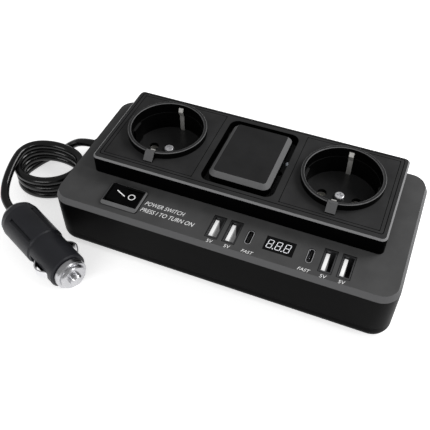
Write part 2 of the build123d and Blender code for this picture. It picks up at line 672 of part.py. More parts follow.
with BuildPart() as bus_capacitor:
    with BuildSketch(plane_at(BOARD_TOP_Z, 68.0, 4.0)):
        Circle(8.0)
    extrude(amount=16.0)
    fillet(bus_capacitor.faces().sort_by(Axis.Z)[-1].edges(), 0.8)
finish(bus_capacitor, "bus_capacitor")

with BuildPart() as choke:
    with BuildSketch(plane_at(BOARD_TOP_Z, -50.0, -10.0)):
        Circle(9.0)
        Circle(3.6, mode=Mode.SUBTRACT)
    extrude(amount=8.0)
    fillet(choke.edges(), 1.5)
finish(choke, "choke")

HEAT_SINK_X = 23.0
with BuildPart() as heat_sinks:
    for side in (-1, 1):
        with BuildSketch(plane_at(BOARD_TOP_Z, side * HEAT_SINK_X, FAN_Y)):
            Rectangle(2.0, 44.0)
            with Locations([(side * 2.5, y) for y in range(-21, 22, 6)]):
                Rectangle(4.0, 1.2)
        extrude(amount=17.0)
finish(heat_sinks, "heat_sinks")

MOSFET_PLACES = [(side * (HEAT_SINK_X - 3.25), FAN_Y + y) for side in (-1, 1) for y in (-13.0, 13.0)]
with BuildPart() as mosfets:
    with BuildSketch(plane_at(BOARD_TOP_Z + 2.0)):
        with Locations(MOSFET_PLACES):
            Rectangle(4.5, 10.0)
    extrude(amount=13.0)
    with BuildSketch(plane_at(BOARD_TOP_Z)):
        with Locations(MOSFET_PLACES):
            with Locations((0, -2.5), (0, 0), (0, 2.5)):
                Rectangle(0.6, 0.9)
    extrude(amount=2.0)
finish(mosfets, "mosfets")

with BuildPart() as board_fuse:
    with BuildSketch(plane_at(BOARD_TOP_Z, -30.0, -20.0)):
        Rectangle(14.0, 5.0)
    extrude(amount=9.0)
finish(board_fuse, "board_fuse")

# ================================================================ cord and its gland
GLAND_OUTSIDE_X = -CASE_LENGTH / 2
with BuildPart() as cable_gland:
    with BuildSketch(Plane.XZ.offset(-GLAND_Y)):
        with BuildLine():
            Polyline(
                (GLAND_OUTSIDE_X + 3.6, GLAND_Z), (GLAND_OUTSIDE_X + 3.6, GLAND_Z + 5.2),
                (GLAND_OUTSIDE_X + 2.3, GLAND_Z + 5.2), (GLAND_OUTSIDE_X + 2.3, GLAND_Z + 4.0),
                (GLAND_OUTSIDE_X - 0.1, GLAND_Z + 4.0), (GLAND_OUTSIDE_X - 0.1, GLAND_Z + 5.6),
                (GLAND_OUTSIDE_X - 1.7, GLAND_Z + 5.6), (GLAND_OUTSIDE_X - 2.4, GLAND_Z + 4.6),
                (GLAND_END_X, GLAND_Z + 3.4), (GLAND_END_X, GLAND_Z),
                close=True,
            )
        make_face()
    revolve(axis=Axis((0, GLAND_Y, GLAND_Z), (1, 0, 0)))
finish(cable_gland, "cable_gland")

TAIL_ROUTE = [
    (GLAND_END_X, GLAND_Y, GLAND_Z),
    (-112.2, GLAND_Y, 16.2),
    (-121.6, 19.0, 9.8),
    (-129.0, 14.6, 3.6),
    (-136.0, 7.1, 2.5),
    (-139.6, -2.4, 2.5),
]
LEAD_ROUTE = [
    (-140.4, -9.6, 18.8),
    (-139.6, -19.6, 16.8),
    (-137.6, -30.2, 13.0),
    (-131.4, -40.3, GRIP_RADIUS),
    (PLUG_REAR[0], PLUG_REAR[1], GRIP_RADIUS),
]


def bend_radii(route):
    """Radius of the arc at each inner corner: as large as its two runs allow."""
    points = [Vector(*point) for point in route]
    radii = []
    for before, here, after in zip(points, points[1:], points[2:]):
        half_turn = math.radians((here - before).get_angle(after - here)) / 2
        shorter = min((here - before).length, (after - here).length)
        radii.append(0.45 * shorter / math.tan(half_turn))
    return radii


def cord_tube(name, route):
    """Round tube along straight runs joined by tangent arcs."""
    radii = bend_radii(route)
    with BuildPart() as tube:
        with BuildLine():
            path = FilletPolyline(*route, radius=radii)
        with BuildSketch(Plane(origin=path @ 0, z_dir=path % 0)):
            Circle(CORD_DIAMETER / 2)
        sweep(path=path)
    section = math.pi * CORD_DIAMETER**2 / 4
    length = path.length
    print(name, "length", round(length, 1), "radii", [round(radius, 1) for radius in radii])
    print(name, "volume ratio", round(tube.part.volume / (section * length), 4))
    return tube


finish(cord_tube("cord_tail", TAIL_ROUTE), "cord_tail")
finish(cord_tube("cord_lead", LEAD_ROUTE), "cord_lead")

coil_turn = math.radians(COIL_TURN)
coil_plane = Plane(
    origin=(COIL_X, COIL_Y, 0),
    x_dir=(math.cos(coil_turn), math.sin(coil_turn), 0),
    z_dir=(0, 0, 1),
)
with BuildPart() as cord_coil:
    with BuildSketch(coil_plane):
        Ellipse(COIL_HALF_LENGTH + CORD_DIAMETER / 2, COIL_HALF_WIDTH + CORD_DIAMETER / 2)
        Ellipse(COIL_HALF_LENGTH - CORD_DIAMETER / 2, COIL_HALF_WIDTH - CORD_DIAMETER / 2, mode=Mode.SUBTRACT)
    extrude(amount=COIL_HEIGHT)
finish(cord_coil, "cord_coil")

# ================================================================ vehicle plug
heading = math.radians(PLUG_HEADING)
plug_axis_dir = Vector(math.cos(heading), math.sin(heading), 0)
plug_side_dir = Vector(-math.sin(heading), math.cos(heading), 0)
plug_origin = Vector(PLUG_REAR[0], PLUG_REAR[1], GRIP_RADIUS)
plug_axis = Axis(plug_origin, plug_axis_dir)
# Sketch plane holding the plug's axis: x runs from the rear to the tip, y runs up.
side_plane = Plane(origin=plug_origin, x_dir=plug_axis_dir, z_dir=plug_side_dir * -1)
# Sketch plane seen from above: x runs from the rear to the tip, y runs to the plug's left.
flat_plane = Plane(origin=plug_origin, x_dir=plug_axis_dir, z_dir=(0, 0, 1))
# The same plane facing down, for the screw, which goes in from below.
screw_plane = Plane(origin=plug_origin, x_dir=plug_axis_dir, z_dir=(0, 0, -1))


SHELL_START = 2.0
SHELL_PROFILE = [
    (SHELL_START, 0), (SHELL_START, 6.4), (3.4, 8.6), (6.0, 10.5), (9.5, GRIP_RADIUS),
    (GRIP_END - 0.8, GRIP_RADIUS - 0.2), (GRIP_END, BARREL_RADIUS), (BARREL_END - 0.6, BARREL_RADIUS),
    (BARREL_END, BARREL_RADIUS - 0.6), (BARREL_END, SPIGOT_RADIUS),
    (SPIGOT_END, SPIGOT_RADIUS), (SPIGOT_END, 0),
]
FUSE_START = 24.0
SPRING_START = 53.6
SLOT_START = 36.4
SLOT_END = 53.2
SLOT_FLOOR = 5.4
SLOT_WIDTH = 5.4
SCREW_STATION = 16.0
SCREW_DEPTH = 7.8
NOTCH_STATION = 23.0
NOTCH_LENGTH = 20.0
NOTCH_WIDTH = 2.6
NOTCH_OFFSET = 7.1
NOTCH_FLOOR = 8.3


def turned(profile):
    """Solid turned about the plug's axis from (station, radius) points."""
    with BuildPart() as solid:
        with BuildSketch(side_plane):
            Polygon(*profile, align=None)
        revolve(axis=plug_axis)
    return solid


def plug_half(keep):
    """One moulded half of the plug's shell, bored for the fuse, spring, contacts and screw."""
    with BuildPart() as half:
        with BuildSketch(side_plane):
            Polygon(*SHELL_PROFILE, align=None)
        revolve(axis=plug_axis)
        with BuildSketch(side_plane):
            Polygon(
                (FUSE_START, 0), (FUSE_START, BORE_RADIUS), (SPRING_START, BORE_RADIUS),
                (SPRING_START, SPRING_BORE_RADIUS), (SPIGOT_END, SPRING_BORE_RADIUS), (SPIGOT_END, 0),
                align=None,
            )
        revolve(axis=plug_axis, mode=Mode.SUBTRACT)
        with BuildSketch(flat_plane):
            slot_middle = (SLOT_START + SLOT_END) / 2
            with Locations((slot_middle, SLOT_FLOOR + 5), (slot_middle, -SLOT_FLOOR - 5)):
                Rectangle(SLOT_END - SLOT_START, 10)
        extrude(amount=SLOT_WIDTH / 2, both=True, mode=Mode.SUBTRACT)
        with BuildSketch(flat_plane.offset(NOTCH_FLOOR)):
            with Locations((NOTCH_STATION, NOTCH_OFFSET), (NOTCH_STATION, -NOTCH_OFFSET)):
                Rectangle(NOTCH_LENGTH, NOTCH_WIDTH)
        extrude(amount=GRIP_RADIUS, mode=Mode.SUBTRACT)
        with BuildSketch(screw_plane.offset(-SCREW_DEPTH)):
            with Locations((SCREW_STATION, 0)):
                Circle(1.5)
        extrude(amount=SCREW_DEPTH + GRIP_RADIUS, mode=Mode.SUBTRACT)
        with BuildSketch(screw_plane.offset(GRIP_RADIUS - 3.0)):
            with Locations((SCREW_STATION, 0)):
                Circle(2.9)
        extrude(amount=4.0, mode=Mode.SUBTRACT)
        split(bisect_by=flat_plane, keep=keep)
    return half


finish(plug_half(Keep.TOP), "plug_upper_half")
finish(plug_half(Keep.BOTTOM), "plug_lower_half")
finish(turned([(0, 0), (0, 4.2), (SHELL_START, 5.2), (SHELL_START, 0)]), "plug_collar")
fuse_profile = [(FUSE_START + 0.4, 0), (FUSE_START + 0.4, 3.1), (SPRING_START, 3.1), (SPRING_START, 0)]
finish(turned(fuse_profile), "plug_fuse")

with BuildPart() as plug_screw:
    with BuildSketch(screw_plane.offset(GRIP_RADIUS - 3.0)):
        with Locations((SCREW_STATION, 0)):
            Circle(2.7)
    extrude(amount=1.6)
    with BuildSketch(screw_plane.offset(-GRIP_RADIUS + 4.0)):
        with Locations((SCREW_STATION, 0)):
            Circle(1.3)
    extrude(amount=2 * GRIP_RADIUS - 7.0)
    with BuildSketch(screw_plane.offset(GRIP_RADIUS - 2.1)):
        with Locations((SCREW_STATION, 0)):
            Rectangle(3.4, 0.8)
            Rectangle(0.8, 3.4)
    extrude(amount=1.0, mode=Mode.SUBTRACT)
finish(plug_screw, "plug_screw")

CONTACT_WIDTH = 4.6
CONTACT_THICKNESS = 0.7
PIVOT_STATION = 38.2
PIVOT_OFFSET = 7.0


def side_contact(side):
    """Bowed spring strip standing out of the barrel; side is 1 for the plug's left, -1 for its right."""
    with BuildPart() as contact:
        with BuildSketch(flat_plane):
            with BuildLine():
                Spline(
                    (PIVOT_STATION, side * PIVOT_OFFSET),
                    (41.0, side * 10.2),
                    (45.5, side * 12.6),
                    (49.6, side * 11.2),
                    (52.0, side * 8.9),
                )
            trace(line_width=CONTACT_THICKNESS)
        extrude(amount=CONTACT_WIDTH / 2, both=True)
        with BuildSketch(flat_plane):
            with Locations((PIVOT_STATION, side * PIVOT_OFFSET)):
                Circle(0.9)
        extrude(amount=CONTACT_WIDTH / 2, both=True)
    return contact


finish(side_contact(1), "plug_left_contact")
finish(side_contact(-1), "plug_right_contact")

CAP_LIP_START = 61.4
CAP_HOLE_RADIUS = 3.58
finish(
    turned([
        (CAP_START, SPIGOT_RADIUS + 0.08), (CAP_START, CAP_RADIUS - 0.3), (CAP_START + 0.3, CAP_RADIUS),
        (60.4, CAP_RADIUS), (61.0, CAP_RADIUS - 0.7), (61.0, 7.4), (CAP_END - 0.5, 7.2), (CAP_END, 6.6),
        (CAP_END, CAP_HOLE_RADIUS), (CAP_LIP_START, CAP_HOLE_RADIUS), (CAP_LIP_START, SPIGOT_RADIUS + 0.08),
    ]),
    "plug_cap",
)
finish(
    turned([
        (60.2, 0), (60.2, 5.0), (CAP_LIP_START - 0.05, 5.0), (CAP_LIP_START - 0.05, TIP_RADIUS),
        (TIP_END - 1.6, TIP_RADIUS), (TIP_END - 0.5, TIP_RADIUS - 0.8), (TIP_END, 1.4), (TIP_END, 0),
    ]),
    "plug_tip",
)

SPRING_RADIUS = 4.2
SPRING_WIRE = 0.35
SPRING_LENGTH = 6.0
SPRING_TURNS = 4
spring_start = SPRING_START + 0.4
with BuildPart() as plug_spring:
    with BuildLine():
        spring_path = Helix(
            pitch=(SPRING_LENGTH - 0.2) / SPRING_TURNS,
            height=SPRING_LENGTH - 0.2,
            radius=SPRING_RADIUS,
            center=plug_origin + plug_axis_dir * (spring_start + 0.1),
            direction=plug_axis_dir,
        )
    with BuildSketch(Plane(origin=spring_path @ 0, z_dir=spring_path % 0)):
        Circle(SPRING_WIRE)
    sweep(path=spring_path)
finish(plug_spring, "plug_spring")

# ================================================================ leads inside the case
LEAD_RADIUS = 0.9
CONTACT_TAIL_Z = WELL_FLOOR_Z - WELL_FLOOR - 12.1
with BuildPart() as ac_leads:
    with BuildSketch(plane_at(BOARD_TOP_Z)):
        with Locations(SOCKET_CENTRES):
            with Locations((PIN_SPACING / 2, 0), (-PIN_SPACING / 2, 0)):
                Circle(LEAD_RADIUS)
    extrude(amount=CONTACT_TAIL_Z - BOARD_TOP_Z)
finish(ac_leads, "ac_leads")

with BuildPart() as dc_leads:
    for offset in (-1.6, 1.6):
        with BuildLine():
            lead_path = FilletPolyline(
                (GLAND_OUTSIDE_X + 3.6, GLAND_Y + offset, GLAND_Z),
                (-84.5 + offset, GLAND_Y + offset, GLAND_Z),
                (-80.0 + offset, GLAND_Y - 12.0, 13.5),
                (-75.0 + offset, -18.0, 12.5),
                (-75.0 + offset, -18.0, BOARD_TOP_Z),
                radius=2.0,
            )
        with BuildSketch(Plane(origin=lead_path @ 0, z_dir=lead_path % 0)):
            Circle(LEAD_RADIUS)
        sweep(path=lead_path)
finish(dc_leads, "dc_leads")
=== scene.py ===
import math

import bpy
from mathutils import Matrix, Vector
from mathutils.bvhtree import BVHTree


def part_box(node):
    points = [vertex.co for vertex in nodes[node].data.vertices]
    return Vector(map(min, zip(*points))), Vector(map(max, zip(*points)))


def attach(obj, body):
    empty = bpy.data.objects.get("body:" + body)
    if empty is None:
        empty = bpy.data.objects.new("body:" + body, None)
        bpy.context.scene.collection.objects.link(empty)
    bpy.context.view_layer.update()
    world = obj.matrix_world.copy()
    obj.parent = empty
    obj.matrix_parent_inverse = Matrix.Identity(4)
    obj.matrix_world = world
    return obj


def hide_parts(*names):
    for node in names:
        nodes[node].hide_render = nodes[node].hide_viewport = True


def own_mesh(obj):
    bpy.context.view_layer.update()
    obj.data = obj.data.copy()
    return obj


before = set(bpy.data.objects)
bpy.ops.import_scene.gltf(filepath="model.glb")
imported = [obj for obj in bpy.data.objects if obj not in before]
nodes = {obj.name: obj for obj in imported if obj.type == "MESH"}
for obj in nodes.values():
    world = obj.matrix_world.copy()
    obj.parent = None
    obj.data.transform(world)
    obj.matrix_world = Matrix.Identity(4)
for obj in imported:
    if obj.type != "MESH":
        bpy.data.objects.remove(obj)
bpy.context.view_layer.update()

MM = 0.001


# ------------------------------------------------------------------ materials
MOTTLE_SCALE = 90.0
MOTTLE_BAND = (0.3, 0.7)
SMEAR_SCALE = 240.0
SMOOTHEST = 0.02
# share of the painted shade on the walls and of the painted highlight on the slopes at each upward part of
# the surface's normal
PAINTED_SHADE_SHARE = ((0.0, 1), (0.86, 1), (0.95, 0), (1.0, 0))
PAINTED_HIGHLIGHT_SHARE = ((0.0, 0), (0.24, 0), (0.38, 1), (0.90, 1), (0.965, 0))


def new_material(name):
    """A material, its node tree and its shader."""
    material = bpy.data.materials.new(name)
    material.use_nodes = True
    shader = material.node_tree.nodes["Principled BSDF"]
    return material, material.node_tree, shader


def surface(
    name, colour, roughness, metallic=0.0, grain=0.0, grain_scale=2600.0, mottle=0.0, smear=0.0,
    coat=0.0, transmission=0.0, glow=0.0, specular=0.5, painted_shade_sides=None, painted_highlight_edges=None,
):
    """Moulded or plated surface: grain is bump depth in mm, mottle varies the colour, smear the gloss.

    The colour given for its upright walls is painted shade, darker than the top, and the colour given for the
    slopes between them is a painted highlight, lighter than the top.
    """
    material, tree, shader = new_material(name)
    shader.inputs["Metallic"].default_value = metallic
    shader.inputs["Specular IOR Level"].default_value = specular
    shader.inputs["Coat Weight"].default_value = coat
    shader.inputs["Transmission Weight"].default_value = transmission
    place = tree.nodes.new("ShaderNodeTexCoord")
    if glow:
        shader.inputs["Emission Color"].default_value = (*colour, 1)
        shader.inputs["Emission Strength"].default_value = glow
    if mottle:
        cloud = tree.nodes.new("ShaderNodeTexNoise")
        cloud.inputs["Scale"].default_value = MOTTLE_SCALE
        cloud.inputs["Detail"].default_value = 6.0
        tree.links.new(place.outputs["Object"], cloud.inputs["Vector"])
        ramp = tree.nodes.new("ShaderNodeValToRGB")
        ramp.color_ramp.elements[0].position = MOTTLE_BAND[0]
        ramp.color_ramp.elements[1].position = MOTTLE_BAND[1]
        low = [max(0.0, c * (1 - mottle)) for c in colour]
        high = [min(1.0, c * (1 + mottle)) for c in colour]
        ramp.color_ramp.elements[0].color = (*low, 1)
        ramp.color_ramp.elements[1].color = (*high, 1)
        tree.links.new(cloud.outputs["Fac"], ramp.inputs["Fac"])
        last = ramp.outputs["Color"]
        # painted shade on the walls and painted highlights on the slopes, mixed in by the upward part of the
        # object-space normal
        if painted_shade_sides:
            split = tree.nodes.new("ShaderNodeSeparateXYZ")
            tree.links.new(place.outputs["Normal"], split.inputs["Vector"])
            for painted_light_colour, stops in ((painted_shade_sides, PAINTED_SHADE_SHARE), (painted_highlight_edges, PAINTED_HIGHLIGHT_SHARE)):
                share = tree.nodes.new("ShaderNodeValToRGB")
                while len(share.color_ramp.elements) < len(stops):
                    share.color_ramp.elements.new(0.5)
                for element, (position, value) in zip(share.color_ramp.elements, stops):
                    element.position = position
                    element.color = (value, value, value, 1)
                tree.links.new(split.outputs["Z"], share.inputs["Fac"])
                blend = tree.nodes.new("ShaderNodeMix")
                blend.data_type = "RGBA"
                blend.inputs["B"].default_value = (*painted_light_colour, 1)
                tree.links.new(share.outputs["Color"], blend.inputs["Factor"])
                tree.links.new(last, blend.inputs["A"])
                last = blend.outputs["Result"]
        tree.links.new(last, shader.inputs["Base Color"])
    else:
        shader.inputs["Base Color"].default_value = (*colour, 1)
    if smear:
        streak = tree.nodes.new("ShaderNodeTexNoise")
        streak.inputs["Scale"].default_value = SMEAR_SCALE
        streak.inputs["Detail"].default_value = 4.0
        tree.links.new(place.outputs["Object"], streak.inputs["Vector"])
        spread = tree.nodes.new("ShaderNodeMapRange")
        spread.inputs["To Min"].default_value = max(SMOOTHEST, roughness - smear)
        spread.inputs["To Max"].default_value = min(1.0, roughness + smear)
        tree.links.new(streak.outputs["Fac"], spread.inputs["Value"])
        tree.links.new(spread.outputs["Result"], shader.inputs["Roughness"])
    else:
        shader.inputs["Roughness"].default_value = roughness
    if grain:
        pits = tree.nodes.new("ShaderNodeTexNoise")
        pits.inputs["Scale"].default_value = grain_scale
        pits.inputs["Detail"].default_value = 3.0
        tree.links.new(place.outputs["Object"], pits.inputs["Vector"])
        bump = tree.nodes.new("ShaderNodeBump")
        bump.inputs["Strength"].default_value = 1.0
        bump.inputs["Distance"].default_value = grain * MM
        tree.links.new(pits.outputs["Fac"], bump.inputs["Height"])
        tree.links.new(bump.outputs["Normal"], shader.inputs["Normal"])
    return material


# in the greys and blacks below, the walls' colours are painted shade and the slopes' colours are painted
# highlights
case_grey = surface(
    "case_grey", (0.070, 0.070, 0.0705), 0.40, grain=0.016, mottle=0.10, smear=0.05, specular=0.03,
    painted_shade_sides=(0.0012, 0.0012, 0.0013), painted_highlight_edges=(0.105, 0.105, 0.107),
)
case_black = surface(
    "case_black", (0.034, 0.034, 0.0345), 0.36, grain=0.012, mottle=0.12, smear=0.06, specular=0.02,
    painted_shade_sides=(0.0008, 0.0008, 0.0009), painted_highlight_edges=(0.21, 0.21, 0.213),
)
panel_grey = surface(
    "panel_grey", (0.029, 0.029, 0.0295), 0.44, grain=0.035, grain_scale=1900, mottle=0.18, smear=0.05,
    specular=0.06, painted_shade_sides=(0.001, 0.001, 0.001), painted_highlight_edges=(0.13, 0.13, 0.132),
)
frame_grey = surface(
    "frame_grey", (0.030, 0.030, 0.0305), 0.42, grain=0.030, grain_scale=1900, mottle=0.15, smear=0.05,
    specular=0.06, painted_shade_sides=(0.001, 0.001, 0.001), painted_highlight_edges=(0.03, 0.03, 0.031),
)
cover_grey = surface(
    "cover_grey", (0.021, 0.021, 0.0215), 0.38, grain=0.020, mottle=0.12, smear=0.05, specular=0.06,
    painted_shade_sides=(0.001, 0.001, 0.001), painted_highlight_edges=(0.14, 0.14, 0.142),
)
socket_black = surface(
    "socket_black", (0.022, 0.022, 0.0223), 0.30, grain=0.008, mottle=0.12, smear=0.06, specular=0.10,
    painted_shade_sides=(0.0015, 0.0015, 0.0015), painted_highlight_edges=(0.06, 0.06, 0.061),
)
switch_gloss = surface(
    "switch_gloss", (0.005, 0.005, 0.0052), 0.34, grain=0.006, mottle=0.10, smear=0.05, specular=0.05,
    painted_shade_sides=(0.001, 0.001, 0.001), painted_highlight_edges=(0.15, 0.15, 0.152),
)
# light grey of the socket tabs: a painted highlight on flat patches, standing in for faces lit from the front
tab_highlight_grey = surface(
    "tab_highlight_grey", (0.10, 0.10, 0.102), 0.42, grain=0.010, mottle=0.08, smear=0.04, specular=0.15,
)
rocker_gloss = surface(
    "rocker_gloss", (0.0018, 0.0018, 0.0019), 0.36, grain=0.006, mottle=0.10, smear=0.05, specular=0.03,
)
display_gloss = surface(
    "display_gloss", (0.002, 0.002, 0.0022), 0.16, mottle=0.10, smear=0.03, specular=0.14,
)
print_white = surface("print_white", (0.95, 0.95, 0.95), 0.45, mottle=0.02, smear=0.03)
digit_white = surface("digit_white", (0.95, 0.96, 1.0), 0.35, smear=0.02, glow=0.15)
shell_steel = surface(
    "shell_steel", (0.085, 0.085, 0.088), 0.38, metallic=1.0, grain=0.004, mottle=0.10, smear=0.10,
)
plated_steel = surface(
    "plated_steel", (0.78, 0.78, 0.80), 0.24, metallic=1.0, grain=0.004, mottle=0.04, smear=0.10,
)
dark_steel = surface(
    "dark_steel", (0.80, 0.80, 0.82), 0.34, metallic=0.7, grain=0.006, mottle=0.08, smear=0.10,
)
zinc_steel = surface(
    "zinc_steel", (0.70, 0.70, 0.72), 0.33, metallic=1.0, grain=0.006, mottle=0.06, smear=0.10,
)
black_steel = surface(
    "black_steel", (0.03, 0.03, 0.032), 0.36, metallic=1.0, grain=0.006, mottle=0.10, smear=0.08,
)
plated_brass = surface(
    "plated_brass", (0.74, 0.73, 0.70), 0.32, metallic=0.7, grain=0.005, mottle=0.08, smear=0.10,
)
nickel = surface(
    "nickel", (0.50, 0.50, 0.515), 0.27, metallic=1.0, grain=0.02, mottle=0.06, smear=0.10,
)
# white of the USB-A tongues with a faint glow: painted light brightening them inside the dark ports
port_white = surface("port_white", (0.95, 0.95, 0.95), 0.35, mottle=0.02, smear=0.04, glow=0.12)
port_black = surface("port_black", (0.003, 0.003, 0.003), 0.40, mottle=0.10, smear=0.05, specular=0.3)
led_clear = surface("led_clear", (0.75, 0.82, 0.90), 0.12, mottle=0.03, smear=0.03, coat=0.5)
foot_rubber = surface("foot_rubber", (0.010, 0.010, 0.010), 0.75, grain=0.03, mottle=0.10, specular=0.3)
fan_plastic = surface("fan_plastic", (0.006, 0.006, 0.006), 0.45, mottle=0.10, smear=0.05, specular=0.3)
winding = surface("winding", (0.42, 0.17, 0.06), 0.30, grain=0.05, grain_scale=900, mottle=0.20, smear=0.05)
board_green = surface("board_green", (0.02, 0.12, 0.05), 0.38, grain=0.01, mottle=0.12, smear=0.05)
ferrite = surface("ferrite", (0.05, 0.05, 0.055), 0.60, grain=0.03, mottle=0.15)
sleeve_blue = surface("sleeve_blue", (0.01, 0.03, 0.12), 0.28, mottle=0.06, smear=0.04)
aluminium = surface("aluminium", (0.78, 0.78, 0.80), 0.38, metallic=1.0, grain=0.01, mottle=0.04, smear=0.10)
fuse_amber = surface("fuse_amber", (0.60, 0.18, 0.02), 0.25, mottle=0.04, smear=0.04)
fuse_glass = surface("fuse_glass", (0.85, 0.90, 0.90), 0.10, smear=0.03, transmission=0.8)
cord_black = surface(
    "cord_black", (0.003, 0.003, 0.0032), 0.20, grain=0.006, grain_scale=700, mottle=0.12, smear=0.06,
    specular=0.36,
)
plug_black = surface(
    "plug_black", (0.019, 0.0195, 0.023), 0.38, grain=0.014, mottle=0.12, smear=0.06, specular=0.20,
)
lead_red = surface("lead_red", (0.40, 0.02, 0.02), 0.35, mottle=0.05, smear=0.04)

CAD_LOOKS = {
    case_grey: ("top_case",),
    case_black: ("lower_case", "socket_block"),
    panel_grey: ("left_socket_plate", "right_socket_plate"),
    frame_grey: ("panel_frame",),
    cover_grey: ("fan_cover",),
    socket_black: ("left_socket_well", "right_socket_well"),
    switch_gloss: ("switch_housing",),
    rocker_gloss: ("power_rocker",),
    display_gloss: ("display_lens",),
    shell_steel: ("usb_a_shells",),
    plated_steel: ("usb_c_shells", "plug_left_contact", "plug_right_contact"),
    dark_steel: ("socket_screws",),
    black_steel: ("plug_screw",),
    zinc_steel: ("case_screws", "fan_screws", "board_screws", "plug_spring"),
    plated_brass: (
        "left_earth_strap", "right_earth_strap", "left_pin_contacts", "right_pin_contacts",
        "switch_terminals",
    ),
    nickel: ("plug_cap", "plug_tip"),
    port_white: ("usb_a_tongues",),
    port_black: ("usb_c_tongues", "display_module", "mosfets"),
    led_clear: ("status_led",),
    foot_rubber: ("rubber_feet", "cable_gland"),
    fan_plastic: ("fan_frame", "fan_rotor"),
    winding: ("fan_stator", "transformer_winding", "choke"),
    board_green: ("usb_board", "main_board"),
    ferrite: ("transformer_core",),
    sleeve_blue: ("input_capacitors", "bus_capacitor"),
    aluminium: ("heat_sinks",),
    fuse_amber: ("board_fuse",),
    fuse_glass: ("plug_fuse",),
    cord_black: ("cord_tail", "cord_coil", "cord_lead"),
    plug_black: ("plug_upper_half", "plug_lower_half", "plug_collar"),
    lead_red: ("ac_leads", "dc_leads"),
}
for look, names in CAD_LOOKS.items():
    for name in names:
        nodes[name].data.materials.clear()
        nodes[name].data.materials.append(look)


# ------------------------------------------------------------------ helpers
def add_mesh(name, vertices, faces, look, body):
    """A mesh piece in metres from points in millimetres."""
    mesh = bpy.data.meshes.new(name)
    mesh.from_pydata([Vector(v) * MM for v in vertices], [], faces)
    mesh.validate()
    mesh.update()
    piece = bpy.data.objects.new(name, mesh)
    bpy.context.collection.objects.link(piece)
    mesh.materials.append(look)
    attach(piece, body)


def prism(outline, low, high):
    """Vertices and faces of an upright prism over a closed outline."""
    count = len(outline)
    vertices = [(x, y, low) for x, y in outline] + [(x, y, high) for x, y in outline]
    faces = [tuple(range(count, 2 * count)), tuple(range(count - 1, -1, -1))]
    faces += [(i, (i + 1) % count, count + (i + 1) % count, count + i) for i in range(count)]
    return vertices, faces


def top_of(name):
    """Height finder over one CAD node, from straight above."""
    node = nodes[name]
    corners = [node.matrix_world @ v.co for v in node.data.vertices]
    tree = BVHTree.FromPolygons(corners, [tuple(p.vertices) for p in node.data.polygons])

    def find(x, y):
        point, _, _, _ = tree.ray_cast(Vector((x * MM, y * MM, 1.0)), Vector((0, 0, -1)))
        return point.z / MM

    return find


EDGE_ANGLE = math.radians(38.0)


def soften(name, width):
    """A fine rounded edge on a CAD node, for its highlights."""
    bevel = nodes[name].modifiers.new("edge", "BEVEL")
    bevel.width = width * MM
    bevel.segments = 2
    bevel.limit_method = "ANGLE"
    bevel.angle_limit = EDGE_ANGLE
    bevel.harden_normals = False


PRINT_LIFT = 0.02
PRINT_THICKNESS = 0.015
PRINT_WEIGHT = -0.01


def lettering(name, words, x, y, z, size, lean, squeeze=1.0, align="LEFT"):
    """Flat printed words standing a hair above the surface."""
    curve = bpy.data.curves.new(name, "FONT")
    curve.body = words
    curve.size = size * MM
    curve.shear = lean
    curve.offset = PRINT_WEIGHT * MM
    curve.align_x = align
    curve.align_y = "CENTER"
    curve.extrude = PRINT_THICKNESS * MM
    curve.resolution_u = 6
    piece = bpy.data.objects.new(name, curve)
    bpy.context.collection.objects.link(piece)
    piece.location = Vector((x, y, z)) * MM
    piece.scale = (squeeze, 1, 1)
    curve.materials.append(print_white)
    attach(piece, "inverter")


# ------------------------------------------------------------------ spring behind the plug's tip
spring_coil = bpy.data.objects.new("spring_coil", nodes["plug_spring"].data.copy())
bpy.context.collection.objects.link(spring_coil)
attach(spring_coil, "inverter")
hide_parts("plug_spring")
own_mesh(spring_coil)

# ------------------------------------------------------------------ cord
CORD_DIAMETER = 5.0
TAIL_ROUTE = [
    (-103.0, 18.0, 17.0),
    (-112.2, 18.0, 16.2),
    (-121.6, 19.0, 9.8),
    (-129.0, 14.6, 3.6),
    (-136.0, 7.1, 2.5),
]
LEAD_ROUTE = [
    (-139.6, -19.6, 16.8),
    (-137.6, -30.2, 13.0),
    (-131.4, -40.3, 11.3),
    (-122.5, -45.0, 11.3),
]
COIL_CENTRE = (-122.6, -5.2)
COIL_TURN = math.radians(22.0)
COIL_HALF_LENGTH = 18.5
COIL_HALF_WIDTH = 14.8
COIL_START = 143.0
COIL_END = 170.0 + 3 * 360.0
COIL_STEP = 18.0
COIL_PITCH = 5.35
COIL_LOOSE = 1.0125
COIL_UNEVEN = 0.012
STEP_UP_FROM = 0.72


def coil_height(turns):
    """Height of the cord's middle: each turn lies flat on the one below and climbs near its end."""
    whole = math.floor(turns)
    climb = max(0.0, (turns - whole - STEP_UP_FROM) / (1 - STEP_UP_FROM))
    return CORD_DIAMETER / 2 + COIL_PITCH * (whole + climb * climb * (3 - 2 * climb))


def coil_point(degrees):
    """Point on the coil at that angle round its oval."""
    angle = math.radians(degrees)
    turns = (degrees - COIL_START) / 360.0
    grow = COIL_LOOSE + COIL_UNEVEN * math.sin(1.7 * angle + 0.6)
    along = grow * COIL_HALF_LENGTH * math.cos(angle)
    across = grow * COIL_HALF_WIDTH * math.sin(angle)
    return (
        COIL_CENTRE[0] + along * math.cos(COIL_TURN) - across * math.sin(COIL_TURN),
        COIL_CENTRE[1] + along * math.sin(COIL_TURN) + across * math.cos(COIL_TURN),
        coil_height(turns),
    )


